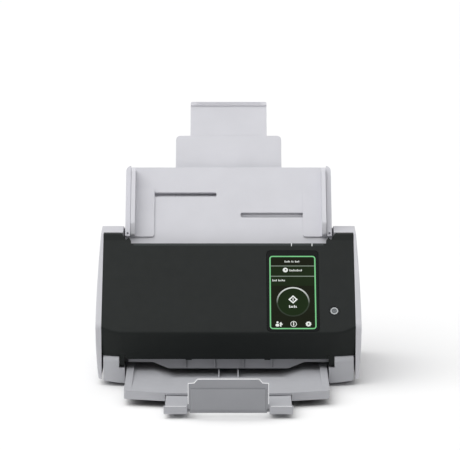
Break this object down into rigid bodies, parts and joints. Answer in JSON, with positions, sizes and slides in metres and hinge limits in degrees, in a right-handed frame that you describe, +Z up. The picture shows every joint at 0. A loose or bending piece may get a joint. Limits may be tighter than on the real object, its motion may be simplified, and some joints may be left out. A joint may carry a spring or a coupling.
{
  "type": "sheet fed document scanner",
  "caption": "Desktop sheet fed document scanner: sloped opening cover with a touch display, rear paper chute with sliding guides, roller paper path and a pull-out stacker.",
  "frame": {"origin": "on the table, under the centre of the opened-out scanner's box", "axes": "+Z up; +X towards the display's side, which is the right seen from the front; +Y from the front of the stacker to the back of the scanner"},
  "size_m": [0.3004, 0.3544, 0.294],
  "materials": {
    "charcoal_plastic": "fine moulded texture",
    "inner_black_plastic": "matt",
    "light_grey_plastic": "fine moulded texture",
    "chute_grey_plastic": "smooth moulded",
    "stacker_grey_plastic": "fine moulded texture",
    "black_rubber": "matt",
    "steel": "bright",
    "display_glass": "polished",
    "scan_glass": "clear",
    "screen": "lit panel",
    "circuit_board": "solder mask"
  },
  "bodies": {
    "base": {"base_frame": "light_grey_plastic", "side_cover_left": "light_grey_plastic", "side_cover_right": "light_grey_plastic", "rear_cover": "light_grey_plastic", "dc_inlet": "inner_black_plastic", "usb_port": "steel", "lan_port": "steel", "rear_screw_1": "steel", "rear_screw_2": "steel", "rear_screw_3": "steel", "rear_screw_4": "steel", "foot_front_left": "black_rubber", "foot_front_right": "black_rubber", "foot_rear_left": "black_rubber", "foot_rear_right": "black_rubber", "lower_guide": "stacker_grey_plastic", "lower_scan_unit": "inner_black_plastic", "lower_scan_glass": "scan_glass", "side_frame_left": "steel", "side_frame_right": "steel", "hinge_pin_left": "steel", "hinge_pin_right": "steel", "main_board": "circuit_board", "feed_motor": "steel", "drive_belt": "black_rubber", "tie_rod": "steel", "paper_chute": "chute_grey_plastic", "chute_back_cover": "chute_grey_plastic"},
    "cover": {"front_cover": "charcoal_plastic", "cover_inner_guide": "inner_black_plastic", "upper_scan_unit": "inner_black_plastic", "upper_scan_glass": "scan_glass", "display_glass": "display_glass", "lcd_panel": "screen", "display_bracket": "steel", "control_board": "circuit_board", "button_ring": "charcoal_plastic"},
    "power_button": {"power_button": "charcoal_plastic"},
    "brake_roller": {"brake_roller": "black_rubber"},
    "feed_idlers": {"feed_idlers": "inner_black_plastic"},
    "eject_idlers": {"eject_idlers": "inner_black_plastic"},
    "pick": {"pick_shaft": "steel", "pick_roller": "black_rubber", "pick_pulley": "inner_black_plastic"},
    "feed": {"feed_shaft": "steel", "feed_roller": "black_rubber", "feed_pulley": "inner_black_plastic"},
    "eject": {"eject_shaft": "steel", "eject_roller": "black_rubber", "eject_pulley": "inner_black_plastic"},
    "motor": {"motor_pulley": "inner_black_plastic"},
    "side_guide_left": {"side_guide_left": "chute_grey_plastic"},
    "side_guide_right": {"side_guide_right": "chute_grey_plastic"},
    "guide_pinion": {"guide_pinion": "inner_black_plastic"},
    "chute_extension_lower": {"chute_extension_lower": "chute_grey_plastic"},
    "chute_extension_upper": {"chute_extension_upper": "chute_grey_plastic"},
    "stacker": {"stacker": "stacker_grey_plastic"},
    "stacker_extension": {"stacker_extension": "stacker_grey_plastic"},
    "stacker_stopper": {"stacker_stopper": "stacker_grey_plastic"}
  },
  "joints": [
    {"name": "cover_hinge", "type": "hinge", "parent": "base", "child": "cover", "pos_m": [0, -0.0312, 0.027], "axis": [1, 0, 0], "range_deg": [0, 60]},
    {"name": "power_button_press", "type": "slide", "parent": "cover", "child": "power_button", "axis": [0, 0.766, -0.6428], "range_m": [0, 0.0008], "stiffness_N_per_m": 300},
    {"name": "brake_roller_spin", "type": "hinge", "parent": "cover", "child": "brake_roller", "pos_m": [0, 0.02151, 0.11384], "axis": [1, 0, 0], "continuous": true},
    {"name": "feed_idlers_spin", "type": "hinge", "parent": "cover", "child": "feed_idlers", "pos_m": [0, 0.01056, 0.09707], "axis": [1, 0, 0], "continuous": true},
    {"name": "eject_idlers_spin", "type": "hinge", "parent": "cover", "child": "eject_idlers", "pos_m": [0, -0.02177, 0.05258], "axis": [1, 0, 0], "continuous": true},
    {"name": "feed_spin", "type": "hinge", "parent": "base", "child": "feed", "pos_m": [0, 0.02237, 0.08849], "axis": [1, 0, 0], "continuous": true},
    {"name": "pick_spin", "type": "hinge", "parent": "base", "child": "pick", "pos_m": [0, 0.05029, 0.12012], "axis": [1, 0, 0], "continuous": true},
    {"name": "eject_spin", "type": "hinge", "parent": "base", "child": "eject", "pos_m": [0, -0.00996, 0.04399], "axis": [1, 0, 0], "continuous": true},
    {"name": "motor_spin", "type": "hinge", "parent": "base", "child": "motor", "pos_m": [0, 0.0408, 0.05], "axis": [1, 0, 0], "continuous": true},
    {"name": "side_guide_left_slide", "type": "slide", "parent": "base", "child": "side_guide_left", "axis": [1, 0, 0], "range_m": [0, 0.074]},
    {"name": "side_guide_right_slide", "type": "slide", "parent": "base", "child": "side_guide_right", "axis": [-1, 0, 0], "range_m": [0, 0.074]},
    {"name": "guide_pinion_spin", "type": "hinge", "parent": "base", "child": "guide_pinion", "pos_m": [0, 0.08325, 0.18641], "axis": [0, -0.809, 0.5878], "range_deg": [-532, 0]},
    {"name": "chute_extension_lower_slide", "type": "slide", "parent": "base", "child": "chute_extension_lower", "axis": [0, -0.5878, -0.809], "range_m": [0, 0.058]},
    {"name": "chute_extension_upper_slide", "type": "slide", "parent": "chute_extension_lower", "child": "chute_extension_upper", "axis": [0, -0.5878, -0.809], "range_m": [0, 0.039]},
    {"name": "stacker_slide", "type": "slide", "parent": "base", "child": "stacker", "axis": [0, 1, 0], "range_m": [0, 0.09]},
    {"name": "stacker_extension_slide", "type": "slide", "parent": "stacker", "child": "stacker_extension", "axis": [0, 1, 0], "range_m": [0, 0.036]},
    {"name": "stacker_stopper_fold", "type": "hinge", "parent": "stacker_extension", "child": "stacker_stopper", "pos_m": [0, -0.1727, 0.0086], "axis": [-1, 0, 0], "range_deg": [0, 88]}
  ],
  "couplings": [
    {"joint": "pick_spin", "follows": "feed_spin", "ratio": 0.8},
    {"joint": "eject_spin", "follows": "feed_spin", "ratio": 1},
    {"joint": "motor_spin", "follows": "feed_spin", "ratio": 1.6},
    {"joint": "side_guide_right_slide", "follows": "side_guide_left_slide", "ratio": 1},
    {"joint": "guide_pinion_spin", "follows": "side_guide_left_slide", "rad_per_m": -125}
  ]
}
